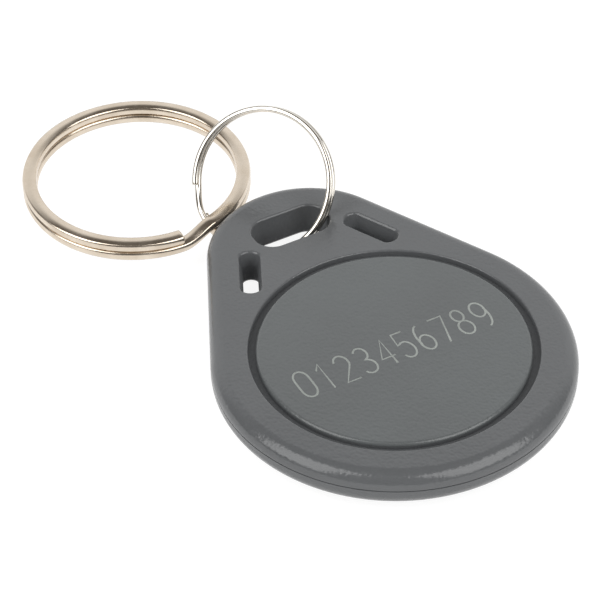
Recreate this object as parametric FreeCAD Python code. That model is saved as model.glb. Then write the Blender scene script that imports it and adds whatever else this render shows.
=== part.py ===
import FreeCAD, Part
import math
import os

# Key fob tag: welded two-shell body with a coil and chip inside, carried by two split rings.
# Millimetres. Origin on the flat back under the round panel's centre, +Z out of the face, +Y towards the rings.

V = FreeCAD.Vector
Z_AXIS = V(0, 0, 1)

# Round panel and the groove around it
panel_radius = 12.0
groove_width = 0.68
groove_depth = 0.65
panel_edge_radius = 0.3
groove_edge_radius = 0.16

# Ring slot
slot_length = 7.5
slot_width = 4.05
slot_corner = 1.8

# Body outline: a large and a small circle joined by straight sides
rim_width = 3.32
body_radius = panel_radius + groove_width + rim_width
apex_shoulder = 5.55
apex_radius = slot_length / 2.0 + apex_shoulder
apex_setback = 0.35
apex_distance = body_radius - apex_setback
side_lean = math.asin((body_radius - apex_radius) / apex_distance)
body_thickness = 3.5
seam_height = 1.85
face_edge_radius = 1.35
back_edge_radius = 1.55
seam_groove_width = 0.14
seam_groove_depth = 0.12

# The ring slot leaves a bar at the apex, and the side slots follow the straight sides
bar_width = 4.025
slot_centre_y = apex_distance + apex_radius - bar_width - slot_width / 2.0
side_slot_length = 5.1
side_slot_width = 1.4
side_slot_drop = 4.0
side_slot_margin = 3.93
side_slot_y = slot_centre_y - side_slot_drop
side_slot_x = (body_radius - side_slot_margin - side_slot_y * math.sin(side_lean)) / math.cos(side_lean)
slot_mouth_radius = 0.22
slot_back_radius = 0.4

# Shell walls and locating features
face_wall = 1.1
back_wall = 0.9
cavity_inset = 0.1
cavity_radius = panel_radius - cavity_inset
lip_thickness = 0.72
lip_clearance = 0.08
lip_top_gap = 0.1
peg_radius = 0.6
peg_height = 0.8
peg_clearance = 0.06
peg_circle = (cavity_radius + body_radius) / 2.0
peg_angles = [-50.0, -130.0, 39.0, 141.0]

# Antenna coil and its leads
coil_wall_gap = 0.5
coil_band = 1.5
coil_height = 1.15
coil_corner = 0.3
lead_radius = 0.1
glue_radius = 0.8
glue_reach = 0.25
glue_angles = [90.0, 210.0, 330.0]

# Chip board, just inside the coil
board_length = 6.0
board_width = 3.6
board_thickness = 0.5
board_coil_gap = 1.7
bond_thickness = 0.1
bond_inset = 0.5
pad_length = 1.5
pad_width = 1.2
pad_thickness = 0.05
pad_end_inset = 0.15
pad_edge_inset = 0.4
die_side = 1.0
die_height = 0.25
die_offset = 0.4
glob_radius = 1.2
glob_height = 0.6
solder_radius = 0.5
solder_height = 0.4
lead_lift = 0.12
lead_end = 0.2

# Large split ring's wire
large_wire_width = 1.40
large_wire_height = 1.06
large_wire_corner = 0.42
large_pitch = 1.10

# Small split ring, through the slot and round the outer bar, with room for the large ring's wire
small_tuck = 0.05
small_mean_radius = bar_width / 2.0 + body_thickness + large_wire_width - small_tuck
chord_play = 0.825
small_chord = bar_width + body_thickness + chord_play
small_chord_angle = 37.5
small_chord_left = 0.09
small_chord_reach = 1.26
small_chord_rise = 1.41
small_tilt_angle = 54.8
small_turn_angle = -144.7
small_wire_width = 0.60
small_wire_height = 0.60
small_wire_corner = 0.24
small_pitch = 0.64
small_jog_angle = 287.0
small_jog_sweep_angle = 24.0

# Large split ring, threaded through the small one
large_link_angle = 327.3
large_left = 3.9
large_reach = 8.68
large_rise = 2.15
large_tilt_angle = 2.66
large_turn_angle = -79.4
large_mean_radius = 10.3
large_jog_angle = 345.0
large_jog_sweep_angle = 22.0


def lean(local, tilt_angle, turn_angle):
    """A vector of a ring's own plane, leaned and turned as the ring is."""
    leaned = FreeCAD.Rotation(V(0, 1, 0), tilt_angle).multVec(local)
    return FreeCAD.Rotation(Z_AXIS, turn_angle).multVec(leaned)


def on_small_ring(angle, reach):
    """Vector from the small ring's centre, at an angle of its own plane."""
    turn = math.radians(angle)
    return lean(V(reach * math.cos(turn), reach * math.sin(turn), 0), small_tilt_angle, small_turn_angle)


# The small ring keeps its chord from the slot's mouth to the bar's underside, and the large one hangs on it
small_chord_middle = V(-small_chord_left, slot_centre_y + small_chord_reach, small_chord_rise)
small_chord_depth = math.sqrt(small_mean_radius ** 2 - small_chord ** 2 / 4.0)
small_centre = small_chord_middle - on_small_ring(small_chord_angle, small_chord_depth)
large_link = small_centre + on_small_ring(large_link_angle, small_mean_radius)
large_centre = large_link + V(-large_left, large_reach, large_rise)

# Heights that follow from the walls
floor_z = back_wall
ceiling_z = body_thickness - face_wall
lip_outer = cavity_radius - lip_clearance
lip_inner = lip_outer - lip_thickness
coil_outer = lip_inner - coil_wall_gap
coil_inner = coil_outer - coil_band
board_y = -(coil_inner - board_coil_gap - board_width / 2.0)
pad_x = board_length / 2.0 - pad_end_inset - pad_length / 2.0
pad_y = board_y - board_width / 2.0 + pad_edge_inset + pad_width / 2.0
die_y = board_y + die_offset
board_z = floor_z + bond_thickness
board_top = board_z + board_thickness
pad_top = board_top + pad_thickness
lead_z = pad_top + lead_lift

jog_steps = 8
bevel_run = 1.2
bevel_drop = 0.45
corner_share = 0.998


def hull_face(grow):
    """Face of the body outline, moved outwards by grow."""
    lower = body_radius + grow
    upper = apex_radius + grow
    cos_l = math.cos(side_lean)
    sin_l = math.sin(side_lean)
    low_right = V(lower * cos_l, lower * sin_l, 0)
    low_left = V(-lower * cos_l, lower * sin_l, 0)
    top_right = V(upper * cos_l, apex_distance + upper * sin_l, 0)
    top_left = V(-upper * cos_l, apex_distance + upper * sin_l, 0)
    edges = [
        Part.Arc(low_left, V(0, -lower, 0), low_right).toShape(),
        Part.makeLine(low_right, top_right),
        Part.Arc(top_right, V(0, apex_distance + upper, 0), top_left).toShape(),
        Part.makeLine(top_left, low_left),
    ]
    return Part.Face(Part.Wire(edges))


def rounded_rectangle(length, width, corner):
    """Wire of a rounded rectangle in the XY plane, centred on the origin."""
    x = length / 2.0
    y = width / 2.0
    corner = min(corner, x * corner_share, y * corner_share)
    bend = corner * (1.0 - math.sqrt(0.5))
    points = [
        (V(-x + corner, -y, 0), V(x - corner, -y, 0)),
        (V(x, -y + corner, 0), V(x, y - corner, 0)),
        (V(x - corner, y, 0), V(-x + corner, y, 0)),
        (V(-x, y - corner, 0), V(-x, -y + corner, 0)),
    ]
    middles = [
        V(x - bend, -y + bend, 0),
        V(x - bend, y - bend, 0),
        V(-x + bend, y - bend, 0),
        V(-x + bend, -y + bend, 0),
    ]
    edges = []
    for index, (start, end) in enumerate(points):
        edges.append(Part.makeLine(start, end))
        following = points[(index + 1) % 4][0]
        edges.append(Part.Arc(end, middles[index], following).toShape())
    return Part.Wire(edges)


def slot_prism(length, width, corner, x, y, turn, low, high):
    """Upright rounded slot solid between two heights."""
    face = Part.Face(rounded_rectangle(length, width, corner))
    solid = face.extrude(V(0, 0, high - low))
    solid.rotate(V(0, 0, 0), Z_AXIS, turn)
    solid.translate(V(x, y, low))
    return solid


def slot_tools(grow, low, high):
    """The three slot solids, each wall moved outwards by grow."""
    side_turn = 90.0 + math.degrees(side_lean)
    main = slot_prism(slot_length + 2 * grow, slot_width + 2 * grow, slot_corner + grow, 0, slot_centre_y, 0, low, high)
    tools = [main]
    for sign in (1, -1):
        tools.append(slot_prism(
            side_slot_length + 2 * grow, side_slot_width + 2 * grow, side_slot_width / 2.0 + grow,
            sign * side_slot_x, side_slot_y, sign * side_turn, low, high))
    return tools


def annulus(outer, inner, low, high):
    """Flat ring between two heights."""
    ring = Part.makeCylinder(outer, high - low, V(0, 0, low))
    return ring.cut(Part.makeCylinder(inner, high - low, V(0, 0, low)))


def edges_at(solid, height, wanted):
    """Edges that lie at one height and satisfy a test on their middle point."""
    found = []
    for edge in solid.Edges:
        box = edge.BoundBox
        if abs(box.ZMin - height) > 1e-4 or abs(box.ZMax - height) > 1e-4:
            continue
        middle = edge.valueAt((edge.FirstParameter + edge.LastParameter) / 2.0)
        if wanted(middle):
            found.append(edge)
    return found


def in_slots(point):
    """Whether a point is on the rim of one of the slots."""
    across = abs(point.x) < slot_length / 2.0 + 0.05
    main = across and abs(point.y - slot_centre_y) < slot_width / 2.0 + 0.05
    reach = side_slot_length / 2.0 + 0.05
    side = math.hypot(abs(point.x) - side_slot_x, point.y - side_slot_y) < reach
    return main or side


def full_body():
    """The closed body with its slots, before it is parted into two shells."""
    solid = hull_face(0.0).extrude(V(0, 0, body_thickness))
    rim = edges_at(solid, body_thickness, lambda point: True)
    solid = solid.makeFillet(face_edge_radius, rim)
    rim = edges_at(solid, 0.0, lambda point: True)
    solid = solid.makeFillet(back_edge_radius, rim)
    for tool in slot_tools(0.0, -1.0, body_thickness + 1.0):
        solid = solid.cut(tool)
    solid = solid.makeFillet(slot_mouth_radius, edges_at(solid, body_thickness, in_slots))
    return solid.makeFillet(slot_back_radius, edges_at(solid, 0.0, in_slots))


def slab(low, high):
    """Block that covers the whole body between two heights."""
    reach = 3.0 * body_radius
    return Part.makeBox(2 * reach, 2 * reach, high - low, V(-reach, -reach, low))


def peg(radius, low, high):
    """The locating pegs, or the holes for them."""
    pegs = []
    for angle in peg_angles:
        x = peg_circle * math.cos(math.radians(angle))
        y = peg_circle * math.sin(math.radians(angle))
        pegs.append(Part.makeCylinder(radius, high - low, V(x, y, low)))
    return pegs[0].multiFuse(pegs[1:])


def front_shell(body):
    """Upper shell with the round panel, its groove and the roof over the coil."""
    shell = body.common(slab(seam_height, body_thickness + 1.0))
    groove_outer = panel_radius + groove_width
    shell = shell.cut(annulus(groove_outer, panel_radius, body_thickness - groove_depth, body_thickness + 1.0))
    inner = edges_at(shell, body_thickness, lambda p: abs(math.hypot(p.x, p.y) - panel_radius) < 0.05)
    shell = shell.makeFillet(panel_edge_radius, inner)
    outer = edges_at(shell, body_thickness, lambda p: abs(math.hypot(p.x, p.y) - groove_outer) < 0.05)
    shell = shell.makeFillet(groove_edge_radius, outer)
    shell = shell.cut(Part.makeCylinder(cavity_radius, ceiling_z - seam_height, V(0, 0, seam_height)))
    return shell.cut(peg(peg_radius + peg_clearance, seam_height, seam_height + peg_height + peg_clearance))


def back_shell(body):
    """Lower shell with the coil cavity, the locating lip and pegs and the seam's groove."""
    shell = body.common(slab(-1.0, seam_height))
    low = seam_height - seam_groove_width
    step = hull_face(1.0).extrude(V(0, 0, seam_groove_width))
    step = step.cut(hull_face(-seam_groove_depth).extrude(V(0, 0, seam_groove_width)))
    step.translate(V(0, 0, low))
    shell = shell.cut(step)
    for tool in slot_tools(seam_groove_depth, low, seam_height):
        shell = shell.cut(tool)
    shell = shell.cut(Part.makeCylinder(lip_inner, seam_height, V(0, 0, floor_z)))
    lip = annulus(lip_outer, lip_inner, seam_height - 0.5, ceiling_z - lip_top_gap)
    return shell.multiFuse([lip, peg(peg_radius, seam_height - 0.5, seam_height + peg_height)]).removeSplitter()


def antenna_coil():
    """Wound coil with its two leads running inwards to the board."""
    ring = annulus(coil_outer, coil_inner, floor_z, floor_z + coil_height)
    ring = ring.makeFillet(coil_corner, [e for e in ring.Edges if abs(e.BoundBox.ZLength) < 1e-6])
    start = -(coil_inner + coil_band / 2.0)
    end = pad_y + lead_end
    leads = []
    for sign in (1, -1):
        leads.append(Part.makeCylinder(lead_radius, end - start, V(sign * pad_x, start, lead_z), V(0, 1, 0)))
    return ring.multiFuse(leads).removeSplitter()


def dome(radius, height, x, y, z):
    """Spherical cap that stands on a flat at height z."""
    ball = (radius * radius + height * height) / (2.0 * height)
    sphere = Part.makeSphere(ball, V(x, y, z + height - ball))
    return sphere.common(Part.makeBox(4 * ball, 4 * ball, 2 * height, V(x - 2 * ball, y - 2 * ball, z)))


def plate(length, width, thickness, x, y, z):
    """Flat block centred on x and y, standing on z."""
    return Part.makeBox(length, width, thickness, V(x - length / 2.0, y - width / 2.0, z))


def ring_section(width, height, corner, radius, level):
    """Wire of the ring's cross-section in the plane of X and Z."""
    wire = rounded_rectangle(width, height, corner)
    wire.rotate(V(0, 0, 0), V(1, 0, 0), 90)
    wire.translate(V(radius, 0, level))
    return wire


def split_ring(radius, width, height, corner, pitch, jog_start, jog_sweep):
    """One wire of nearly two turns that steps from the lower turn to the upper one at the jog."""
    half = pitch / 2.0
    pieces = []
    for level, start in ((-half, jog_start + jog_sweep), (half, jog_start + jog_sweep)):
        face = Part.Face(ring_section(width, height, corner, radius, level))
        turn = face.revolve(V(0, 0, 0), Z_AXIS, 360.0 - jog_sweep)
        turn.rotate(V(0, 0, 0), Z_AXIS, start)
        pieces.append(turn)
    sections = []
    for step in range(jog_steps + 1):
        part = step / float(jog_steps)
        rise = part * part * (3.0 - 2.0 * part)
        wire = ring_section(width, height, corner, radius, -half + pitch * rise)
        wire.rotate(V(0, 0, 0), Z_AXIS, jog_start + jog_sweep * part)
        sections.append(wire)
    pieces.append(Part.makeLoft(sections, True, False))
    return pieces[0].multiFuse(pieces[1:])


def end_bevel(ring, radius, width, height, pitch, angle, upper):
    """Grinds the free side of one wire end to a slope."""
    run = bevel_run * height
    slope = bevel_drop / bevel_run
    side = 1.0 if upper else -1.0
    top = side * (pitch + height) / 2.0
    past = height / 3.0
    corners = [
        V(radius - width, past * side, top + side * past),
        V(radius - width, past * side, top - side * slope * (run + past)),
        V(radius - width, -run * side, top),
        V(radius - width, -run * side, top + side * past),
    ]
    face = Part.Face(Part.makePolygon(corners + [corners[0]]))
    tool = face.extrude(V(2 * width, 0, 0))
    tool.rotate(V(0, 0, 0), Z_AXIS, angle)
    return ring.cut(tool)


def placed_ring(radius, width, height, corner, pitch, jog_start, jog_sweep, centre, tilt, turn):
    """A split ring with ground ends, leaned and moved to its place."""
    ring = split_ring(radius, width, height, corner, pitch, jog_start, jog_sweep)
    ring = end_bevel(ring, radius, width, height, pitch, jog_start, True)
    ring = end_bevel(ring, radius, width, height, pitch, jog_start + jog_sweep, False)
    ring.rotate(V(0, 0, 0), V(0, 1, 0), tilt)
    ring.rotate(V(0, 0, 0), Z_AXIS, turn)
    ring.translate(centre)
    return ring


def build():
    """All solids by node name."""
    body = full_body()
    coil = antenna_coil()
    die = plate(die_side, die_side, die_height, 0, die_y, board_top)
    nodes = {
        "front_shell": front_shell(body),
        "back_shell": back_shell(body),
        "antenna_coil": coil,
        "board_bond": plate(board_length - bond_inset, board_width - bond_inset, bond_thickness, 0, board_y, floor_z),
        "chip_board": plate(board_length, board_width, board_thickness, 0, board_y, board_z),
        "chip_die": die,
        "glob_top": dome(glob_radius, glob_height, 0, die_y, board_top).cut(die),
    }
    for index, angle in enumerate(glue_angles):
        reach = coil_inner - glue_reach
        x = reach * math.cos(math.radians(angle))
        y = reach * math.sin(math.radians(angle))
        nodes["coil_glue_%d" % (index + 1)] = dome(glue_radius, glue_radius, x, y, floor_z).cut(coil)
    for name, sign in (("left", -1), ("right", 1)):
        nodes["pad_" + name] = plate(pad_length, pad_width, pad_thickness, sign * pad_x, pad_y, board_top)
        nodes["solder_" + name] = dome(solder_radius, solder_height, sign * pad_x, pad_y, pad_top).cut(coil)
    nodes["small_split_ring"] = placed_ring(
        small_mean_radius, small_wire_width, small_wire_height, small_wire_corner, small_pitch,
        small_jog_angle, small_jog_sweep_angle, small_centre, small_tilt_angle, small_turn_angle)
    nodes["large_split_ring"] = placed_ring(
        large_mean_radius, large_wire_width, large_wire_height, large_wire_corner, large_pitch,
        large_jog_angle, large_jog_sweep_angle, large_centre, large_tilt_angle, large_turn_angle)
    return nodes


def main():
    """Writes one STEP file for each node."""
    os.makedirs("parts", exist_ok=True)
    for name, shape in build().items():
        if shape.ShapeType == "Compound" and len(shape.Solids) == 1:
            shape = shape.Solids[0]
        print(name, len(shape.Solids), shape.isValid(), round(shape.Volume, 3))
        shape.exportStep("parts/%s.step" % name)


main()
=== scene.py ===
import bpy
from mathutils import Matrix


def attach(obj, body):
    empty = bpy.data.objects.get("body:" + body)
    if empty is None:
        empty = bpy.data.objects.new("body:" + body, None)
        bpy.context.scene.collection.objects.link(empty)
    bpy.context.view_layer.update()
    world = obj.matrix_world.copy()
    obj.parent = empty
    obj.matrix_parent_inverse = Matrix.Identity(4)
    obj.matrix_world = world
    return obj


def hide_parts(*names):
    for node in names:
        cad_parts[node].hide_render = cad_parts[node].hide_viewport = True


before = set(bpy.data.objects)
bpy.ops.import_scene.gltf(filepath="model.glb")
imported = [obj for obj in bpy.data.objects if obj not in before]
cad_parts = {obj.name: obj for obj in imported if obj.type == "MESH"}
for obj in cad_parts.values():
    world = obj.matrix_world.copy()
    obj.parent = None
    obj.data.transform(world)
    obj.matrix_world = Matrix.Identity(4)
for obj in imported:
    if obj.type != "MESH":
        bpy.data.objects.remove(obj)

"""Key fob tag with two split rings: shells, rings, marking, finishes, studio and camera."""

import logging
import math
from dataclasses import dataclass
from enum import Enum
from typing import Callable

import bmesh
import bpy
from mathutils import Matrix, Vector

LOG = logging.getLogger("fob")
MM = 0.001
CAMERA_AZIMUTH = -27.42
WHITE = (1.0, 1.0, 1.0)
Pair = tuple[float, float]
Point = tuple[float, float, float]
Colour = tuple[float, float, float, float]


class Body(Enum):
    """Moving bodies of the frame."""

    FOB = "fob"
    SMALL_RING = "small_ring"
    LARGE_RING = "large_ring"


class Cut(Enum):
    """Ways one solid acts on another."""

    AWAY = "DIFFERENCE"
    KEEP = "INTERSECT"


def linear(value: float) -> float:
    """Turns one sRGB channel into linear light.

    Args:
        value: The channel, 0 to 255.

    Returns:
        Its linear value, 0 to 1.
    """
    part = value / 255.0
    return part / 12.92 if part <= 0.04045 else ((part + 0.055) / 1.055) ** 2.4


def srgb(red: float, green: float, blue: float) -> Colour:
    """Turns a colour of 0 to 255 into the linear colour of a shader socket.

    Args:
        red: Red, 0 to 255.
        green: Green, 0 to 255.
        blue: Blue, 0 to 255.

    Returns:
        Linear red, green, blue and an alpha of 1.
    """
    return (linear(red), linear(green), linear(blue), 1.0)


def direction(azimuth: float, elevation: float) -> Vector:
    """Points from the object towards a bearing.

    Args:
        azimuth: Degrees about Z, from the -Y axis.
        elevation: Degrees above the floor.

    Returns:
        A unit vector.
    """
    turn, rise = math.radians(azimuth), math.radians(elevation)
    return Vector((math.sin(turn) * math.cos(rise), -math.cos(turn) * math.cos(rise), math.sin(rise)))


class Bench:
    """Modelling steps in millimetres, each on the active object."""

    HEIGHT_MATCH = 1e-3
    WALL_LEVEL = 0.5
    FLAT_LEVEL = 0.99
    DOUBLES = 0.0001
    FLATS_WEIGHT = 90

    @staticmethod
    def clear() -> None:
        """Leaves edit mode and deselects everything."""
        if bpy.context.object is not None and bpy.context.object.mode != "OBJECT":
            bpy.ops.object.mode_set(mode="OBJECT")
        bpy.ops.object.select_all(action="DESELECT")

    @classmethod
    def pick(cls, obj: bpy.types.Object) -> bpy.types.Object:
        """Makes one object the only selected and active one.

        Args:
            obj: The object.

        Returns:
            The same object.
        """
        cls.clear()
        obj.select_set(True)
        bpy.context.view_layer.objects.active = obj
        return obj

    @classmethod
    def added(cls) -> bpy.types.Object:
        """Finds the object that was just made.

        Returns:
            The active object.
        """
        return bpy.context.object

    @classmethod
    def cylinder(cls, radius: float, low: float, high: float, centre: Pair, sides: int) -> bpy.types.Object:
        """Adds an upright cylinder.

        Args:
            radius: Its radius.
            low: Height of its bottom.
            high: Height of its top.
            centre: X and Y of its axis.
            sides: Number of sides.

        Returns:
            The new object.
        """
        cls.clear()
        place = (centre[0], centre[1], (low + high) / 2)
        bpy.ops.mesh.primitive_cylinder_add(vertices=sides, radius=radius, depth=high - low, location=place)
        cls.settle()
        return cls.added()

    @classmethod
    def box(cls, size: Point, centre: Point) -> bpy.types.Object:
        """Adds a box of a size at a centre.

        Args:
            size: Its length, width and height.
            centre: Its centre.

        Returns:
            The new object.
        """
        cls.clear()
        bpy.ops.mesh.primitive_cube_add(size=1, location=centre, scale=size)
        cls.settle()
        return cls.added()

    @classmethod
    def spun(cls, outline: list[Pair], steps: int) -> bpy.types.Object:
        """Draws a closed outline vertex by vertex and spins it about the Z axis.

        Args:
            outline: Radius and height of each corner, in order.
            steps: Number of steps in the full turn.

        Returns:
            The ring-shaped solid.
        """
        cls.clear()
        bpy.ops.mesh.primitive_plane_add(size=0.01, location=(outline[0][0], 0, outline[0][1]))
        cls.settle()
        ring = cls.added()
        bpy.ops.object.mode_set(mode="EDIT")
        bpy.ops.mesh.select_mode(type="VERT")
        bpy.ops.mesh.select_all(action="SELECT")
        bpy.ops.mesh.merge(type="CENTER")
        for (near, low), (far, high) in zip(outline, outline[1:]):
            bpy.ops.mesh.extrude_region_move(TRANSFORM_OT_translate={"value": (far - near, 0, high - low)})
        bpy.ops.mesh.select_all(action="DESELECT")
        work = bmesh.from_edit_mesh(ring.data)
        for vert in work.verts:
            vert.select_set(len(vert.link_edges) == 1)
        bmesh.update_edit_mesh(ring.data)
        bpy.ops.mesh.edge_face_add()
        bpy.ops.mesh.select_all(action="SELECT")
        bpy.ops.mesh.spin(steps=steps, angle=2 * math.pi, center=(0, 0, 0), axis=(0, 0, 1))
        bpy.ops.mesh.select_all(action="SELECT")
        bpy.ops.mesh.remove_doubles(threshold=cls.DOUBLES)
        bpy.ops.mesh.normals_make_consistent(inside=False)
        bpy.ops.object.mode_set(mode="OBJECT")
        return ring

    @staticmethod
    def settle() -> None:
        """Bakes the active object's place, turn and scale into its mesh."""
        bpy.ops.object.transform_apply(location=True, rotation=True, scale=True)

    @staticmethod
    def select_edges(obj: bpy.types.Object, wanted: Callable[[bmesh.types.BMEdge], bool]) -> int:
        """Enters edit mode and selects the edges that satisfy a test.

        Args:
            obj: The active object.
            wanted: Test on an edge.

        Returns:
            How many edges are selected.
        """
        bpy.ops.object.mode_set(mode="EDIT")
        bpy.ops.mesh.select_mode(type="EDGE")
        bpy.ops.mesh.select_all(action="DESELECT")
        work = bmesh.from_edit_mesh(obj.data)
        chosen = [edge for edge in work.edges if wanted(edge)]
        for edge in chosen:
            edge.select_set(True)
        bmesh.update_edit_mesh(obj.data)
        return len(chosen)

    @classmethod
    def is_rim(cls, edge: bmesh.types.BMEdge, height: float) -> bool:
        """Whether an edge divides a flat at a height from a wall.

        Args:
            edge: The edge.
            height: Height of the flat.

        Returns:
            True for a rim edge.
        """
        if len(edge.link_faces) != 2 or any(abs(vert.co.z - height) > cls.HEIGHT_MATCH for vert in edge.verts):
            return False
        level = sorted(abs(face.normal.z) for face in edge.link_faces)
        return level[0] < cls.WALL_LEVEL and level[1] > cls.FLAT_LEVEL

    @classmethod
    def round_rim(
        cls, obj: bpy.types.Object, height: float, radius: float, segments: int,
        inside: Callable[[Vector], bool] = lambda middle: True,
    ) -> None:
        """Rounds the rim edges at a height.

        Args:
            obj: The solid.
            height: Height of the flat that the rim bounds.
            radius: Rounding radius.
            segments: Number of faces across the rounding.
            inside: Test on an edge's middle, by default true for every edge.
        """
        cls.pick(obj)
        count = cls.select_edges(
            obj, lambda edge: cls.is_rim(edge, height) and inside((edge.verts[0].co + edge.verts[1].co) / 2))
        if count:
            cls.bevel(radius, segments)
        bpy.ops.object.mode_set(mode="OBJECT")
        LOG.debug("rounded %d edges at %.2f", count, height)

    @staticmethod
    def bevel(radius: float, segments: int, clamp: bool = False) -> None:
        """Rounds the selected edges in edit mode.

        Args:
            radius: Rounding radius.
            segments: Number of faces across the rounding.
            clamp: Whether the rounding stops before it meets another one.
        """
        bpy.ops.mesh.bevel(
            offset=radius, offset_type="OFFSET", segments=segments, profile=0.5, clamp_overlap=clamp)

    @classmethod
    def cut(cls, obj: bpy.types.Object, tool: bpy.types.Object, way: Cut) -> None:
        """Cuts one solid with another and removes the tool.

        Args:
            obj: The solid that stays.
            tool: The other solid.
            way: What the tool does.
        """
        cls.pick(obj)
        change = obj.modifiers.new("cut", "BOOLEAN")
        change.operation = way.value
        change.solver = "EXACT"
        change.object = tool
        bpy.ops.object.modifier_apply(modifier=change.name)
        bpy.data.objects.remove(tool, do_unlink=True)

    @classmethod
    def copy(cls, obj: bpy.types.Object) -> bpy.types.Object:
        """Copies an object with a mesh of its own.

        Args:
            obj: The object.

        Returns:
            The copy.
        """
        cls.pick(obj)
        bpy.ops.object.duplicate(linked=False)
        return cls.added()

    @classmethod
    def join(cls, parts: list[bpy.types.Object]) -> bpy.types.Object:
        """Joins objects into the first of them.

        Args:
            parts: The objects.

        Returns:
            The joined object.
        """
        cls.clear()
        for part in parts:
            part.select_set(True)
        bpy.context.view_layer.objects.active = parts[0]
        bpy.ops.object.join()
        return cls.added()

    @classmethod
    def smooth(cls, obj: bpy.types.Object, angle: float, weighted: bool) -> None:
        """Shades a finished mesh.

        Args:
            obj: The object.
            angle: Edges sharper than this many degrees stay crisp.
            weighted: Whether large faces lead the shading.
        """
        cls.pick(obj)
        bpy.ops.object.shade_smooth_by_angle(angle=math.radians(angle))
        if weighted:
            lead = obj.modifiers.new("flats lead", "WEIGHTED_NORMAL")
            lead.mode = "FACE_AREA"
            lead.weight = cls.FLATS_WEIGHT
            lead.keep_sharp = True
            bpy.ops.object.modifier_apply(modifier=lead.name)

    @classmethod
    def to_metres(cls, obj: bpy.types.Object) -> None:
        """Brings a finished piece from millimetres to metres, in its mesh.

        Args:
            obj: The piece.
        """
        cls.pick(obj)
        obj.scale = (MM, MM, MM)
        cls.settle()

    @staticmethod
    def dress(obj: bpy.types.Object, *materials: bpy.types.Material) -> None:
        """Gives an object its materials in place of any that it had.

        Args:
            obj: The object.
            *materials: Its materials, in the order of their slots.
        """
        obj.data.materials.clear()
        for material in materials:
            obj.data.materials.append(material)


def finished(obj: bpy.types.Object, name: str, body: Body, nodes: list[str], slot: str) -> bpy.types.Object:
    """Names a piece and ties it to the frame.

    Args:
        obj: The piece, in metres.
        name: Its name.
        body: The body it moves with.
        nodes: The CAD nodes it stands for.
        slot: The record's material slot.

    Returns:
        The same object.
    """
    obj.name = name
    obj.data.name = name
    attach(obj, body.value)
    if nodes:
        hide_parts(*nodes)
    LOG.info("%s: %d faces, finish %s", name, len(obj.data.polygons), slot)
    return obj


class Nodes:
    """A short way to build one node tree."""

    def __init__(self, tree: bpy.types.NodeTree, output: str) -> None:
        """Empties a tree and gives it its output.

        Args:
            tree: The tree.
            output: The output node's type.
        """
        self.tree = tree
        self.tree.nodes.clear()
        self.output = self.add(output)

    def add(self, kind: str, **values: object) -> bpy.types.Node:
        """Adds a node and sets its properties.

        Args:
            kind: The node's type.
            **values: Properties by name.

        Returns:
            The node.
        """
        node = self.tree.nodes.new(kind)
        for key, value in values.items():
            setattr(node, key, value)
        return node

    def link(self, source: bpy.types.NodeSocket, target: bpy.types.NodeSocket) -> None:
        """Joins two sockets.

        Args:
            source: The output that gives.
            target: The input that takes.
        """
        self.tree.links.new(source, target)

    def mixed(
        self, share: bpy.types.NodeSocket, first: bpy.types.NodeSocket, second: bpy.types.NodeSocket,
    ) -> bpy.types.NodeSocket:
        """Mixes two shaders.

        Args:
            share: How much of the second one.
            first: The shader at share 0.
            second: The shader at share 1.

        Returns:
            The mixed shader.
        """
        mix = self.add("ShaderNodeMixShader")
        for socket, source in zip(mix.inputs, (share, first, second)):
            self.link(source, socket)
        return mix.outputs["Shader"]


class Surface(Nodes):
    """A short way to build one material's node tree."""

    MIDDLE = (0.3, 0.7)

    def __init__(self, name: str) -> None:
        """Starts an empty material.

        Args:
            name: The material's name.
        """
        self.material = bpy.data.materials.new(name)
        self.material.use_nodes = True
        super().__init__(self.material.node_tree, "ShaderNodeOutputMaterial")

    def noise(self, place: bpy.types.NodeSocket, scale: float, detail: float, rough: float) -> bpy.types.Node:
        """Adds a noise pattern on Object coordinates.

        Args:
            place: The coordinate socket.
            scale: Cycles per metre.
            detail: Octaves.
            rough: How strong the finer octaves are.

        Returns:
            The noise node.
        """
        node = self.add("ShaderNodeTexNoise")
        node.inputs["Scale"].default_value = scale
        node.inputs["Detail"].default_value = detail
        node.inputs["Roughness"].default_value = rough
        self.link(place, node.inputs["Vector"])
        return node

    def spread(self, value: bpy.types.NodeSocket, low: float, high: float) -> bpy.types.NodeSocket:
        """Maps a pattern from its middle range to two numbers.

        Args:
            value: The pattern.
            low: Result where the pattern is weak.
            high: Result where the pattern is strong.

        Returns:
            The mapped socket.
        """
        node = self.add("ShaderNodeMapRange")
        for name, number in zip(("From Min", "From Max", "To Min", "To Max"), (*self.MIDDLE, low, high)):
            node.inputs[name].default_value = number
        self.link(value, node.inputs["Value"])
        return node.outputs["Result"]

    def tint(self, shader: bpy.types.Node, pattern: bpy.types.NodeSocket, low: Colour, high: Colour) -> None:
        """Colours a shader between two tones by a pattern.

        Args:
            shader: The shader.
            pattern: The pattern.
            low: Tone where the pattern is weak.
            high: Tone where the pattern is strong.
        """
        mix = self.add("ShaderNodeMix", data_type="RGBA")
        self.link(self.spread(pattern, 0.0, 1.0), mix.inputs["Factor"])
        mix.inputs["A"].default_value = low
        mix.inputs["B"].default_value = high
        self.link(mix.outputs["Result"], shader.inputs["Base Color"])

    def relief(
        self, shader: bpy.types.Node, pattern: bpy.types.NodeSocket, strength: float, height: float,
    ) -> bpy.types.Material:
        """Gives a shader a relief by a pattern and ends the material with it.

        Args:
            shader: The shader.
            pattern: The pattern.
            strength: How much the relief shows, 0 to 1.
            height: Its height in metres.

        Returns:
            The material.
        """
        bump = self.add("ShaderNodeBump")
        bump.inputs["Strength"].default_value = strength
        bump.inputs["Distance"].default_value = height
        self.link(pattern, bump.inputs["Height"])
        self.link(bump.outputs["Normal"], shader.inputs["Normal"])
        self.link(shader.outputs["BSDF"], self.output.inputs["Surface"])
        return self.material


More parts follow.
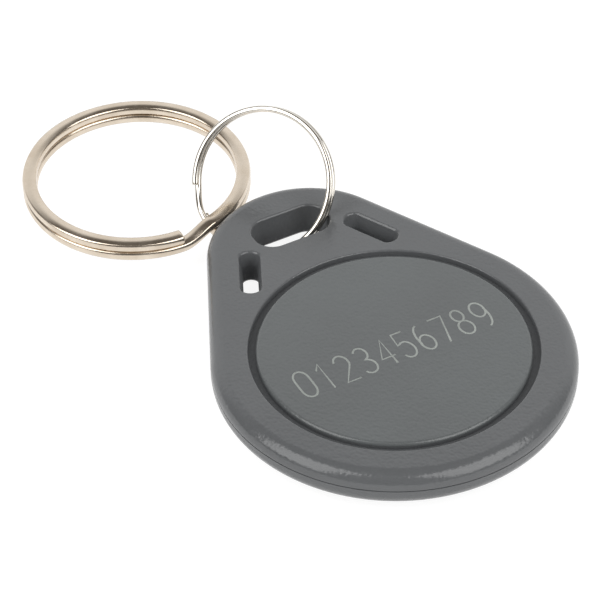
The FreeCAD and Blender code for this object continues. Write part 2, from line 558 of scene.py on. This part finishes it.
@dataclass(frozen=True)
class MouldedPlastic:
    """Satin moulded plastic with a fine spark-eroded grain and faint flow marks."""

    name: str
    low: Colour
    high: Colour
    roughness: Pair
    cloud_scale: float = 95.0
    grain_scale: float = 3600.0
    grain_height: float = 0.00002
    grain_strength: float = 0.9
    specular: float = 0.52

    def build(self) -> bpy.types.Material:
        """Builds the material.

        Returns:
            The material.
        """
        kit = Surface(self.name)
        place = kit.add("ShaderNodeTexCoord").outputs["Object"]
        shader = kit.add("ShaderNodeBsdfPrincipled")
        cloud = kit.noise(place, self.cloud_scale, detail=3.0, rough=0.5).outputs["Fac"]
        kit.tint(shader, cloud, self.low, self.high)
        grain = kit.noise(place, self.grain_scale, detail=0.0, rough=0.5).outputs["Fac"]
        kit.link(kit.spread(grain, *self.roughness), shader.inputs["Roughness"])
        shader.inputs["Specular IOR Level"].default_value = self.specular
        return kit.relief(shader, grain, self.grain_strength, self.grain_height)


@dataclass(frozen=True)
class PlatedWire:
    """Nickel-plated spring wire with a faint haze and small scuffs."""

    name: str
    colour: Colour
    dark: Colour
    roughness: Pair
    scuff: float
    haze_scale: float = 420.0
    fine_scale: float = 3000.0
    scuff_height: float = 0.00001

    def build(self) -> bpy.types.Material:
        """Builds the material.

        Returns:
            The material.
        """
        kit = Surface(self.name)
        place = kit.add("ShaderNodeTexCoord").outputs["Object"]
        shader = kit.add("ShaderNodeBsdfPrincipled")
        shader.inputs["Metallic"].default_value = 1.0
        haze = kit.noise(place, self.haze_scale, detail=4.0, rough=0.6).outputs["Fac"]
        kit.tint(shader, haze, self.dark, self.colour)
        kit.link(kit.spread(haze, *self.roughness), shader.inputs["Roughness"])
        fine = kit.noise(place, self.fine_scale, detail=3.0, rough=0.6).outputs["Fac"]
        return kit.relief(shader, fine, self.scuff, self.scuff_height)


@dataclass(frozen=True)
class InnerFinish:
    """Finish of a small part inside the shells."""

    name: str
    low: Colour
    high: Colour
    metallic: float
    roughness: float
    scale: float
    stretch: Point = (1.0, 1.0, 1.0)
    relief: float = 0.3
    relief_height: float = 0.00001

    def build(self) -> bpy.types.Material:
        """Builds the material.

        Returns:
            The material.
        """
        kit = Surface(self.name)
        place = kit.add("ShaderNodeTexCoord").outputs["Object"]
        turn = kit.add("ShaderNodeMapping")
        turn.inputs["Scale"].default_value = self.stretch
        kit.link(place, turn.inputs["Vector"])
        shader = kit.add("ShaderNodeBsdfPrincipled")
        shader.inputs["Metallic"].default_value = self.metallic
        shader.inputs["Roughness"].default_value = self.roughness
        grain = kit.noise(turn.outputs["Vector"], self.scale, detail=3.0, rough=0.5).outputs["Fac"]
        kit.tint(shader, grain, self.low, self.high)
        return kit.relief(shader, grain, self.relief, self.relief_height)


@dataclass
class Shells:
    """The two welded shells of the body, in millimetres."""

    body_radius: float = 16.0
    apex_radius: float = 9.3
    apex_distance: float = 15.65
    thickness: float = 3.5
    seam: float = 2.1
    face_edge: float = 1.35
    back_edge: float = 1.55
    seam_groove: float = 0.11
    seam_depth: float = 0.08
    panel_radius: float = 12.0
    groove_width: float = 0.68
    groove_depth: float = 0.65
    panel_edge: float = 0.3
    groove_edge: float = 0.16
    slot_length: float = 7.5
    slot_width: float = 4.05
    slot_corner: float = 1.8
    slot_y: float = 18.9
    side_length: float = 5.1
    side_width: float = 1.4
    side_x: float = 6.3
    side_y: float = 14.9
    mouth_edge: float = 0.22
    slot_back_edge: float = 0.55
    side_draft: float = 0.33
    cavity_radius: float = 11.9
    ceiling: float = 2.4
    floor: float = 0.9
    lip_outer: float = 11.82
    lip_inner: float = 11.1
    lip_top: float = 2.3
    sides: int = 288
    cavity_sides: int = 96
    edge_segments: int = 14
    corner_segments: int = 16
    mouth_segments: int = 5
    back_segments: int = 6
    groove_steps: int = 6
    side_corner_share: float = 0.998
    slot_margin: float = 0.5
    overlap: float = 0.02
    above: float = 0.5
    slot_above: float = 0.3
    beyond: float = 1.0
    touch: float = 0.01
    wall_level: float = 0.3
    flat_angle: float = 0.2
    crisp_angle: float = 38.0

    @property
    def lean(self) -> float:
        """Finds how far the straight sides lean from the Y axis.

        Returns:
            The angle in radians.
        """
        return math.asin((self.body_radius - self.apex_radius) / self.apex_distance)

    def drop(self, grow: float, low: float, high: float) -> bpy.types.Object:
        """Models the body's drop-shaped solid by wrapping two discs.

        Args:
            grow: How far its wall stands out from the body's.
            low: Height of its bottom.
            high: Height of its top.

        Returns:
            The solid.
        """
        lower = Bench.cylinder(self.body_radius + grow, low, high, (0, 0), self.sides)
        upper = Bench.cylinder(self.apex_radius + grow, low, high, (0, self.apex_distance), self.sides)
        solid = Bench.join([lower, upper])
        bpy.ops.object.mode_set(mode="EDIT")
        bpy.ops.mesh.select_mode(type="VERT")
        bpy.ops.mesh.select_all(action="SELECT")
        bpy.ops.mesh.convex_hull(delete_unused=True, use_existing_faces=False, join_triangles=False)
        bpy.ops.mesh.select_all(action="SELECT")
        bpy.ops.mesh.dissolve_limited(angle_limit=math.radians(self.flat_angle))
        bpy.ops.mesh.normals_make_consistent(inside=False)
        bpy.ops.object.mode_set(mode="OBJECT")
        return solid

    def slot_tool(
        self, length: float, width: float, corner: float, centre: Pair, turn: float, low: float, high: float,
        draft: float = 0.0,
    ) -> bpy.types.Object:
        """Models the solid that cuts one rounded slot.

        Args:
            length: Slot length.
            width: Slot width.
            corner: Corner radius.
            centre: X and Y of the slot's centre.
            turn: Turn about Z in radians.
            low: Height of its bottom.
            high: Height of its top.
            draft: How far its walls lean out at the top.

        Returns:
            The solid.
        """
        tool = Bench.box((length, width, high - low), (0, 0, (low + high) / 2))
        Bench.select_edges(tool, lambda edge: abs(edge.verts[0].co.z - edge.verts[1].co.z) > 0.1)
        Bench.bevel(corner, self.corner_segments)
        if draft:
            bpy.ops.mesh.select_all(action="DESELECT")
            work = bmesh.from_edit_mesh(tool.data)
            for face in work.faces:
                face.select_set(face.normal.z > 0.9)
            bmesh.update_edit_mesh(tool.data)
            bpy.ops.transform.resize(value=(1 + 2 * draft / length, 1 + 2 * draft / width, 1))
        bpy.ops.object.mode_set(mode="OBJECT")
        tool.rotation_euler = (0, 0, turn)
        tool.location = (centre[0], centre[1], 0)
        Bench.pick(tool)
        Bench.settle()
        return tool

    def slot_tools(self, draft: float, low: float, high: float) -> list[bpy.types.Object]:
        """Models the cutting solids of all three slots.

        Args:
            draft: How far the side slots' walls lean out at the top.
            low: Height of their bottoms.
            high: Height of their tops.

        Returns:
            The solids.
        """
        tools = [self.slot_tool(
            self.slot_length, self.slot_width, self.slot_corner, (0, self.slot_y), 0, low, high)]
        for sign in (1, -1):
            tools.append(self.slot_tool(
                self.side_length, self.side_width, self.side_width / 2 * self.side_corner_share,
                (sign * self.side_x, self.side_y), sign * (math.pi / 2 + self.lean), low, high, draft))
        return tools

    def at_slots(self, point: Vector) -> bool:
        """Tells whether a point is at a slot.

        Args:
            point: The point.

        Returns:
            True at a slot's wall or rim.
        """
        along, across = abs(point.x), abs(point.y - self.slot_y)
        main = along < self.slot_length / 2 + self.slot_margin and across < self.slot_width / 2 + self.slot_margin
        from_side = math.hypot(abs(point.x) - self.side_x, point.y - self.side_y)
        return main or from_side < self.side_length / 2 + self.slot_margin

    def blank(self) -> bpy.types.Object:
        """Models the closed body with its rounded edges.

        Returns:
            The solid.
        """
        solid = self.drop(0.0, 0.0, self.thickness)
        Bench.round_rim(solid, self.thickness, self.face_edge, self.edge_segments)
        Bench.round_rim(solid, 0.0, self.back_edge, self.edge_segments)
        return solid

    def ring_tool(self, outer: float, inner: float, low: float, high: float) -> bpy.types.Object:
        """Models a flat ring.

        Args:
            outer: Outer radius.
            inner: Inner radius.
            low: Height of its bottom.
            high: Height of its top.

        Returns:
            The solid.
        """
        ring = Bench.cylinder(outer, low, high, (0, 0), self.sides)
        hole = Bench.cylinder(inner, low - self.beyond, high + self.beyond, (0, 0), self.sides)
        Bench.cut(ring, hole, Cut.AWAY)
        return ring

    def slab(self, low: float, high: float) -> bpy.types.Object:
        """Models a block over the whole body between two heights.

        Args:
            low: Height of its bottom.
            high: Height of its top.

        Returns:
            The solid.
        """
        return Bench.box((100, 100, high - low), (0, 0, (low + high) / 2))

    def groove_tool(self) -> bpy.types.Object:
        """Models the solid that cuts the groove round the panel and rounds both its edges.

        Returns:
            The solid.
        """
        outer = self.panel_radius + self.groove_width
        above = self.thickness + self.above
        quarter = [math.radians(90 * step / self.groove_steps) for step in range(self.groove_steps + 1)]
        inside = [(
            self.panel_radius - self.panel_edge * (1 - math.sin(turn)),
            self.thickness - self.panel_edge * (1 - math.cos(turn))) for turn in quarter]
        outside = [(
            outer + self.groove_edge * (1 - math.cos(turn)),
            self.thickness - self.groove_edge * (1 - math.sin(turn))) for turn in quarter]
        low = self.thickness - self.groove_depth
        corners = [(inside[0][0], above)] + inside + [(self.panel_radius, low), (outer, low)] + outside
        return Bench.spun(corners + [(outside[-1][0], above)], self.sides)

    def face_shell(self, blank: bpy.types.Object) -> bpy.types.Object:
        """Models the upper shell with its round panel and groove.

        Args:
            blank: The closed body.

        Returns:
            The shell.
        """
        shell = Bench.copy(blank)
        Bench.cut(shell, self.slab(self.seam, 10), Cut.KEEP)
        for tool in self.slot_tools(self.side_draft, self.seam - self.overlap, self.thickness + self.slot_above):
            Bench.cut(shell, tool, Cut.AWAY)
        Bench.round_rim(shell, self.thickness, self.mouth_edge, self.mouth_segments, self.at_slots)
        cavity = Bench.cylinder(self.cavity_radius, 0, self.ceiling, (0, 0), self.cavity_sides)
        Bench.cut(shell, cavity, Cut.AWAY)
        Bench.cut(shell, self.groove_tool(), Cut.AWAY)
        return shell

    def rear_shell(self, blank: bpy.types.Object) -> bpy.types.Object:
        """Models the lower shell with its cavity, lip and seam groove.

        Args:
            blank: The closed body.

        Returns:
            The shell.
        """
        shell = Bench.copy(blank)
        Bench.cut(shell, self.slab(-10, self.seam), Cut.KEEP)
        for tool in self.slot_tools(0.0, -self.beyond, self.seam + self.beyond):
            Bench.cut(shell, tool, Cut.AWAY)
        Bench.round_rim(shell, 0.0, self.slot_back_edge, self.back_segments, self.at_slots)
        low = self.seam - self.seam_groove
        band = self.drop(self.beyond, low, self.seam + self.above)
        Bench.cut(band, self.drop(-self.seam_depth, low - self.beyond, self.seam + self.beyond), Cut.AWAY)
        Bench.cut(shell, band, Cut.AWAY)
        cavity = Bench.cylinder(self.lip_inner, self.floor, 5, (0, 0), self.cavity_sides)
        Bench.cut(shell, cavity, Cut.AWAY)
        lip = self.ring_tool(self.lip_outer, self.lip_inner, self.seam, self.lip_top)
        return Bench.join([shell, lip])

    def paint(self, shell: bpy.types.Object) -> None:
        """Gives each face of a shell its finish: 0 body, 1 panel, painted a little lighter as painted light, 2 walls
        of the slots and the groove, painted darker as painted shade.

        Args:
            shell: The shell.
        """
        groove_start, groove_end = self.panel_radius, self.panel_radius + self.groove_width
        for polygon in shell.data.polygons:
            corners = [shell.data.vertices[index].co for index in polygon.vertices]
            reach = [math.hypot(corner.x, corner.y) for corner in corners]
            high = polygon.center.z > self.thickness - 0.5 * self.groove_depth
            past_panel, before_edge = min(reach) > groove_start - self.touch, max(reach) < groove_end + self.touch
            in_groove = not high and past_panel and before_edge
            in_slot = abs(polygon.normal.z) < self.wall_level and self.at_slots(polygon.center)
            # Index 1 marks the panel, whose slightly lighter tone is painted light.
            if high and max(reach) < groove_start + self.touch:
                polygon.material_index = 1
            # Index 2 marks the slot and groove walls, whose darker tone is painted shade.
            elif in_slot or in_groove:
                polygon.material_index = 2

    def build(self, plastic: bpy.types.Material, panel: bpy.types.Material, walls: bpy.types.Material) -> None:
        """Models, dresses and places both shells.

        Args:
            plastic: Finish of the body.
            panel: Finish of the round panel, the body plastic painted a little lighter as painted light.
            walls: Finish of the walls in the slots and the groove: a real matte finish with a darker tone that is
                painted shade in these recesses.
        """
        blank = self.blank()
        face = self.face_shell(blank)
        rear = self.rear_shell(blank)
        bpy.data.objects.remove(blank, do_unlink=True)
        for shell, name, node in ((face, "face_shell", "front_shell"), (rear, "rear_shell", "back_shell")):
            Bench.dress(shell, plastic, panel, walls)
            self.paint(shell)
            Bench.smooth(shell, self.crisp_angle, True)
            Bench.to_metres(shell)
            finished(shell, name, Body.FOB, [node], "grey_abs")


@dataclass
class SplitRing:
    """One wire of nearly two turns with a jog between them, in millimetres."""

    name: str
    node: str
    body: Body
    centre: Point
    tilt: float
    turn: float
    radius: float
    wire_width: float
    wire_height: float
    roundness: float
    pitch: float
    jog_angle: float
    jog_sweep: float
    steps: int
    side_cuts: int
    end_round: float
    jog_steps: int = 14
    end_segments: int = 3
    crisp_angle: float = 50.0

    def section(self, level: float) -> bpy.types.Object:
        """Models the wire's cross-section as a loop of edges in the XZ plane.

        Args:
            level: Height of its centre.

        Returns:
            The loop.
        """
        Bench.clear()
        bpy.ops.mesh.primitive_plane_add(size=1, location=(0, 0, 0))
        loop = Bench.added()
        bpy.ops.object.mode_set(mode="EDIT")
        bpy.ops.mesh.select_mode(type="VERT")
        bpy.ops.mesh.select_all(action="SELECT")
        bpy.ops.mesh.delete(type="ONLY_FACE")
        bpy.ops.mesh.select_all(action="SELECT")
        bpy.ops.mesh.subdivide(number_cuts=self.side_cuts)
        bpy.ops.mesh.select_all(action="SELECT")
        bpy.ops.transform.tosphere(value=self.roundness)
        bpy.ops.object.mode_set(mode="OBJECT")
        reach = max(abs(vert.co.x) for vert in loop.data.vertices)
        loop.scale = (self.wire_width / 2 / reach, self.wire_height / 2 / reach, 1)
        Bench.settle()
        loop.rotation_euler = (math.pi / 2, 0, 0)
        loop.location = (self.radius, 0, level)
        Bench.pick(loop)
        Bench.settle()
        loop.rotation_euler = (0, 0, math.radians(self.jog_angle + self.jog_sweep))
        Bench.settle()
        return loop

    def wind(self, angle: float, rise: Callable[[float], float], steps: int) -> None:
        """Carries the selected loop on round the axis.

        Args:
            angle: Angle to cover, in degrees.
            rise: Height gained as a share of the way.
            steps: Number of steps.
        """
        for step in range(steps):
            gain = rise((step + 1) / steps) - rise(step / steps)
            bpy.ops.mesh.extrude_region_move(TRANSFORM_OT_translate={"value": (0, 0, gain)})
            bpy.ops.transform.rotate(
                value=-math.radians(angle / steps), orient_axis="Z", center_override=(0, 0, 0), orient_type="GLOBAL")

    def winding(self) -> bpy.types.Object:
        """Models the wire as it is wound: a lower turn, the jog and an upper turn.

        Returns:
            The wire.
        """
        wire = self.section(-self.pitch / 2)
        bpy.ops.object.mode_set(mode="EDIT")
        bpy.ops.mesh.select_mode(type="EDGE")
        bpy.ops.mesh.select_all(action="SELECT")
        self.wind(360.0 - self.jog_sweep, lambda part: 0.0, self.steps)
        self.wind(self.jog_sweep, lambda part: self.pitch * part * part * (3 - 2 * part), self.jog_steps)
        self.wind(360.0 - self.jog_sweep, lambda part: 0.0, self.steps)
        bpy.ops.mesh.select_all(action="DESELECT")
        work = bmesh.from_edit_mesh(wire.data)
        for edge in work.edges:
            edge.select_set(len(edge.link_faces) == 1)
        bmesh.update_edit_mesh(wire.data)
        bpy.ops.mesh.edge_face_add()
        bpy.ops.mesh.select_all(action="DESELECT")
        work = bmesh.from_edit_mesh(wire.data)
        for face in work.faces:
            if len(face.verts) > 4:
                for edge in face.edges:
                    edge.select_set(True)
        bmesh.update_edit_mesh(wire.data)
        Bench.bevel(self.end_round, self.end_segments, clamp=True)
        bpy.ops.mesh.select_all(action="SELECT")
        bpy.ops.mesh.normals_make_consistent(inside=False)
        bpy.ops.object.mode_set(mode="OBJECT")
        return wire

    def build(self, finish: bpy.types.Material) -> bpy.types.Object:
        """Models, dresses and places the ring.

        Args:
            finish: Its material.

        Returns:
            The ring.
        """
        wire = self.winding()
        Bench.dress(wire, finish)
        lean = Matrix.Rotation(math.radians(self.turn), 4, "Z") @ Matrix.Rotation(math.radians(self.tilt), 4, "Y")
        Bench.pick(wire)
        wire.matrix_world = Matrix.Translation(Vector(self.centre)) @ lean
        Bench.settle()
        Bench.smooth(wire, self.crisp_angle, False)
        Bench.to_metres(wire)
        return finished(wire, self.name, self.body, [self.node], "nickel_plate")


@dataclass
class SerialMarking:
    """A row of plain digits marked on the panel, in millimetres."""

    digits: str = "0123456789"
    first_x: float = -9.0
    pitch: float = 1.96
    centre_y: float = -0.46
    width: float = 1.32
    height: float = 3.3
    stroke: float = 0.1
    face: float = 3.5
    proud: float = 0.012
    closed_gap: float = 0.001

    @staticmethod
    def arc(x: float, y: float, rx: float, ry: float, start: float, end: float) -> list[Pair]:
        """Draws part of an ellipse, with a point every 15 degrees or so.

        Args:
            x: X of its centre.
            y: Y of its centre.
            rx: Its reach along X.
            ry: Its reach along Y.
            start: First angle in degrees.
            end: Last angle in degrees.

        Returns:
            Its points.
        """
        count = max(4, round(abs(end - start) / 15))
        turns = [math.radians(start + (end - start) * step / count) for step in range(count + 1)]
        return [(x + rx * math.cos(turn), y + ry * math.sin(turn)) for turn in turns]

    def strokes(self, digit: str) -> list[list[Pair]]:
        """Draws a digit on a cell of 1 by 1.

        Args:
            digit: One digit.

        Returns:
            Its strokes, each a list of points.
        """
        arc = self.arc
        shapes = {
            "0": [arc(0.5, 0.7, 0.5, 0.3, 0, 180) + arc(0.5, 0.3, 0.5, 0.3, 180, 360) + [(1.0, 0.7)]],
            "1": [[(0.2, 0.78), (0.55, 1.0), (0.55, 0.0)]],
            "2": [arc(0.5, 0.72, 0.48, 0.28, 165, -35) + [(0.0, 0.0), (1.0, 0.0)]],
            "3": [arc(0.48, 0.76, 0.44, 0.24, 150, -90) + arc(0.48, 0.26, 0.5, 0.26, 90, -150)],
            "4": [[(0.75, 0.0), (0.75, 1.0), (0.0, 0.3), (1.0, 0.3)]],
            "5": [[(0.92, 1.0), (0.14, 1.0), (0.06, 0.55)] + arc(0.48, 0.31, 0.5, 0.31, 120, -150)],
            "6": [arc(0.62, 0.5, 0.6, 0.5, 100, 205), arc(0.5, 0.29, 0.48, 0.29, 180, 540)],
            "7": [[(0.0, 1.0), (1.0, 1.0), (0.35, 0.0)]],
            "8": [arc(0.5, 0.77, 0.4, 0.23, -90, 270), arc(0.5, 0.27, 0.5, 0.27, 90, 450)],
            "9": [arc(0.5, 0.71, 0.48, 0.29, 0, 360), arc(0.38, 0.5, 0.6, 0.5, 25, -80)],
        }
        return shapes[digit]

    def build(self, finish: bpy.types.Material) -> bpy.types.Object:
        """Models, dresses and places the digits.

        Args:
            finish: Their material.

        Returns:
            The marking.
        """
        curve = bpy.data.curves.new("marking", "CURVE")
        curve.dimensions = "3D"
        curve.bevel_depth = self.stroke
        curve.bevel_resolution = 2
        curve.use_fill_caps = True
        for index, digit in enumerate(self.digits):
            left = self.first_x + index * self.pitch - self.width / 2
            low = self.centre_y - self.height / 2
            for stroke in self.strokes(digit):
                line = curve.splines.new("POLY")
                if math.dist(stroke[0], stroke[-1]) < self.closed_gap:
                    line.use_cyclic_u = True
                    stroke = stroke[:-1]
                line.points.add(len(stroke) - 1)
                for point, (x, y) in zip(line.points, stroke):
                    point.co = (left + x * self.width, low + y * self.height, 0, 1)
        obj = bpy.data.objects.new("marking", curve)
        bpy.context.scene.collection.objects.link(obj)
        Bench.pick(obj)
        bpy.ops.object.convert(target="MESH")
        obj = Bench.added()
        bpy.ops.object.mode_set(mode="EDIT")
        bpy.ops.mesh.select_all(action="SELECT")
        bpy.ops.mesh.remove_doubles(threshold=self.closed_gap)
        bpy.ops.mesh.normals_make_consistent(inside=False)
        bpy.ops.object.mode_set(mode="OBJECT")
        obj.scale = (1, 1, self.proud / self.stroke)
        obj.location = (0, 0, self.face)
        Bench.settle()
        Bench.dress(obj, finish)
        Bench.to_metres(obj)
        return finished(obj, "serial_marking", Body.FOB, [], "grey_abs")


class Inside:
    """The parts sealed between the shells, which keep their CAD solids."""

    @staticmethod
    def build() -> None:
        """Dresses each CAD node with its finish."""
        copper = InnerFinish(
            "enamelled copper", srgb(120, 48, 22), srgb(196, 98, 52), 0.9, 0.32, 9000.0, stretch=(1, 1, 6))
        glue = InnerFinish("clear glue", srgb(196, 184, 150), srgb(226, 216, 186), 0.0, 0.2, 900.0)
        board = InnerFinish("board green", srgb(18, 70, 38), srgb(28, 96, 54), 0.0, 0.35, 2500.0)
        silicon = InnerFinish("silicon", srgb(70, 72, 80), srgb(96, 98, 108), 0.4, 0.15, 3000.0)
        epoxy = InnerFinish("black epoxy", srgb(14, 14, 15), srgb(28, 28, 30), 0.0, 0.25, 1500.0)
        pad = InnerFinish("plated pad", srgb(190, 150, 80), srgb(220, 182, 110), 1.0, 0.3, 4000.0)
        solder = InnerFinish("solder", srgb(170, 172, 175), srgb(205, 207, 210), 1.0, 0.22, 2500.0)
        chosen = {
            "antenna_coil": copper,
            "coil_glue_1": glue, "coil_glue_2": glue, "coil_glue_3": glue, "board_bond": glue,
            "chip_board": board, "chip_die": silicon, "glob_top": epoxy,
            "pad_left": pad, "pad_right": pad, "solder_left": solder, "solder_right": solder,
        }
        made: dict[str, bpy.types.Material] = {}
        for node, finish in chosen.items():
            if finish.name not in made:
                made[finish.name] = finish.build()
            Bench.dress(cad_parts[node], made[finish.name])
            LOG.info("%s: finish %s", node, finish.name)


@dataclass(frozen=True)
class SoftBox:
    """A flat lamp, placed by its bearing from the camera's side of the object."""

    name: str
    bearing: float
    elevation: float
    distance: float
    width: float
    height: float
    watts: float

    def hang(self, camera_azimuth: float) -> None:
        """Hangs the lamp so that it faces the object.

        Args:
            camera_azimuth: The camera's azimuth in degrees.
        """
        away = direction(camera_azimuth + self.bearing, self.elevation)
        data = bpy.data.lights.new(self.name, "AREA")
        data.shape = "RECTANGLE"
        data.size = self.width
        data.size_y = self.height
        data.energy = self.watts
        obj = bpy.data.objects.new(self.name, data)
        bpy.context.scene.collection.objects.link(obj)
        facing = away.to_track_quat("Z", "Y").to_matrix().to_4x4()
        obj.matrix_world = Matrix.Translation(away * self.distance) @ facing


@dataclass
class Studio:
    """Pale floor, two soft boxes and a surround that is dark but for a pale band behind the object."""

    camera_azimuth: float = CAMERA_AZIMUTH
    floor_z: float = -1.25
    floor_size: float = 8.0
    floor_colour: float = 0.9
    seen_colour: float = 0.25
    seen_glow: float = 0.88
    sky_dark: Point = (0.15, 0.14, 0.13)
    sky_pale: Point = WHITE
    band_start: Pair = (0.25, 0.65)
    band_top: Pair = (0.84, 0.67)

    def boxes(self) -> list[SoftBox]:
        """Lists the lamps.

        Returns:
            The lamps.
        """
        return [
            SoftBox("left box", -62.0, 41.0, 0.7, 0.50, 0.68, 3.15),
            SoftBox("right box", 52.0, 39.0, 0.7, 0.60, 0.68, 3.55),
        ]

    def floor(self) -> None:
        """Lays the pale floor that keeps the object's shadow."""
        Bench.clear()
        bpy.ops.mesh.primitive_plane_add(size=self.floor_size, location=(0, 0, self.floor_z * MM))
        floor = Bench.added()
        floor.name = "floor"
        kit = Surface("pale floor")
        plain, shade = (kit.add("ShaderNodeBsdfDiffuse") for _ in range(2))
        for diffuse, grey in ((plain, self.floor_colour), (shade, self.seen_colour)):
            diffuse.inputs["Color"].default_value = (grey, grey, grey, 1)
        glow = kit.add("ShaderNodeEmission")
        glow.inputs["Color"].default_value = (*WHITE, 1)
        glow.inputs["Strength"].default_value = self.seen_glow
        both = kit.add("ShaderNodeAddShader")
        kit.link(shade.outputs["BSDF"], both.inputs[0])
        kit.link(glow.outputs["Emission"], both.inputs[1])
        path = kit.add("ShaderNodeLightPath")
        seen = kit.add("ShaderNodeMath", operation="MAXIMUM")
        kit.link(path.outputs["Is Camera Ray"], seen.inputs[0])
        kit.link(path.outputs["Is Glossy Ray"], seen.inputs[1])
        mix = kit.mixed(seen.outputs["Value"], plain.outputs["BSDF"], both.outputs["Shader"])
        kit.link(mix, kit.output.inputs["Surface"])
        floor.data.materials.append(kit.material)

    def world(self) -> None:
        """Sets the surround: white to the camera, and to the object dark but for a pale band behind it."""
        world = bpy.data.worlds.new("studio")
        bpy.context.scene.world = world
        world.use_nodes = True
        kit = Nodes(world.node_tree, "ShaderNodeOutputWorld")
        place = kit.add("ShaderNodeTexCoord").outputs["Generated"]
        split = kit.add("ShaderNodeSeparateXYZ")
        kit.link(place, split.inputs[0])
        behind = kit.add("ShaderNodeVectorMath", operation="DOT_PRODUCT")
        behind.inputs[1].default_value = -direction(self.camera_azimuth, 0)
        kit.link(place, behind.inputs[0])
        bands = []
        for source, start, end in ((behind.outputs["Value"], *self.band_start), (split.outputs["Z"], *self.band_top)):
            band = kit.add("ShaderNodeMapRange", interpolation_type="SMOOTHSTEP")
            band.inputs["From Min"].default_value = min(start, end)
            band.inputs["From Max"].default_value = max(start, end)
            band.inputs["To Min"].default_value = 0.0 if start < end else 1.0
            band.inputs["To Max"].default_value = 1.0 if start < end else 0.0
            kit.link(source, band.inputs["Value"])
            bands.append(band.outputs["Result"])
        share = kit.add("ShaderNodeMath", operation="MULTIPLY")
        for band, socket in zip(bands, share.inputs):
            kit.link(band, socket)
        skies = []
        for colour in (self.sky_dark, self.sky_pale, WHITE):
            sky = kit.add("ShaderNodeBackground")
            sky.inputs["Color"].default_value = (*colour, 1)
            skies.append(sky.outputs["Background"])
        lit = kit.mixed(share.outputs["Value"], skies[0], skies[1])
        path = kit.add("ShaderNodeLightPath")
        kit.link(kit.mixed(path.outputs["Is Camera Ray"], lit, skies[2]), kit.output.inputs["Surface"])

    def build(self) -> None:
        """Sets the floor, lamps, world and view."""
        self.floor()
        for box in self.boxes():
            box.hang(self.camera_azimuth)
        self.world()
        bpy.context.scene.view_settings.view_transform = "Standard"


@dataclass
class PhotoCamera:
    """Camera at the photograph's angle, in millimetres and degrees."""

    azimuth: float = CAMERA_AZIMUTH
    elevation: float = 41.64
    roll: float = -1.85
    distance: float = 182.7
    target: Pair = (-2.36, 11.93)
    focal_pixels: float = 2000.0
    frame_pixels: float = 610.0
    sensor: float = 36.0
    clip_start: float = 0.01

    def build(self) -> None:
        """Creates the camera and makes it the scene's."""
        back = direction(self.azimuth, self.elevation)
        right = (-back).cross(Vector((0, 0, 1))).normalized()
        up = right.cross(-back)
        roll = math.radians(self.roll)
        across = right * math.cos(roll) + up * math.sin(roll)
        upward = up * math.cos(roll) - right * math.sin(roll)
        place = (Vector((self.target[0], self.target[1], 0)) + back * self.distance) * MM
        data = bpy.data.cameras.new("photo camera")
        data.sensor_width = self.sensor
        data.lens = self.focal_pixels / self.frame_pixels * self.sensor
        data.clip_start = self.clip_start
        obj = bpy.data.objects.new("photo camera", data)
        bpy.context.scene.collection.objects.link(obj)
        axes = Matrix((across, upward, back)).transposed().to_4x4()
        obj.matrix_world = Matrix.Translation(place) @ axes
        bpy.context.scene.camera = obj


def main() -> None:
    """Builds every piece and the studio in order."""
    logging.basicConfig(level=logging.INFO, format="%(message)s")
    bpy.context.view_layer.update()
    plastic = MouldedPlastic("grey satin plastic", srgb(93, 95, 97), srgb(98, 100, 102), (0.15, 0.22)).build()
    # The panel is the same plastic as the body; its slightly lighter tone is painted light.
    panel = MouldedPlastic("panel satin plastic with painted light", srgb(95, 98, 99), srgb(99, 103, 104), (0.18, 0.26)).build()
    # The walls of the slots and the groove: a real matte finish, with a tone darker than the body that is painted
    # shade in these recesses.
    walls = MouldedPlastic(
        "matte wall plastic with painted shade", srgb(88, 90, 92), srgb(94, 96, 98), (0.6, 0.75), specular=0.25).build()
    marked = MouldedPlastic("laser-marked plastic", srgb(142, 147, 144), srgb(170, 175, 171), (0.55, 0.7)).build()
    nickel = PlatedWire("warm nickel", srgb(226, 214, 198), srgb(206, 192, 174), (0.14, 0.24), 0.15).build()
    bright = PlatedWire("bright nickel", srgb(226, 222, 214), srgb(208, 203, 194), (0.08, 0.16), 0.1).build()
    Shells().build(plastic, panel, walls)
    SerialMarking().build(marked)
    Inside.build()
    SplitRing(
        name="small_ring_wire", node="small_split_ring", body=Body.SMALL_RING,
        centre=(0.0268, 24.3052, 4.9408), tilt=54.8, turn=-144.7, radius=6.8625,
        wire_width=0.60, wire_height=0.60, roundness=0.75, pitch=0.64,
        jog_angle=287.0, jog_sweep=24.0, steps=150, side_cuts=5, end_round=0.08).build(bright)
    SplitRing(
        name="large_ring_wire", node="large_split_ring", body=Body.LARGE_RING,
        centre=(-8.7323, 34.0874, 2.34), tilt=2.66, turn=-79.4, radius=10.3,
        wire_width=1.40, wire_height=0.96, roundness=0.6, pitch=1.0,
        jog_angle=348.5, jog_sweep=18.5, steps=170, side_cuts=6, end_round=0.14).build(nickel)
    Studio().build()
    PhotoCamera().build()
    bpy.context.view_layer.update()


if __name__ == "__main__":
    main()
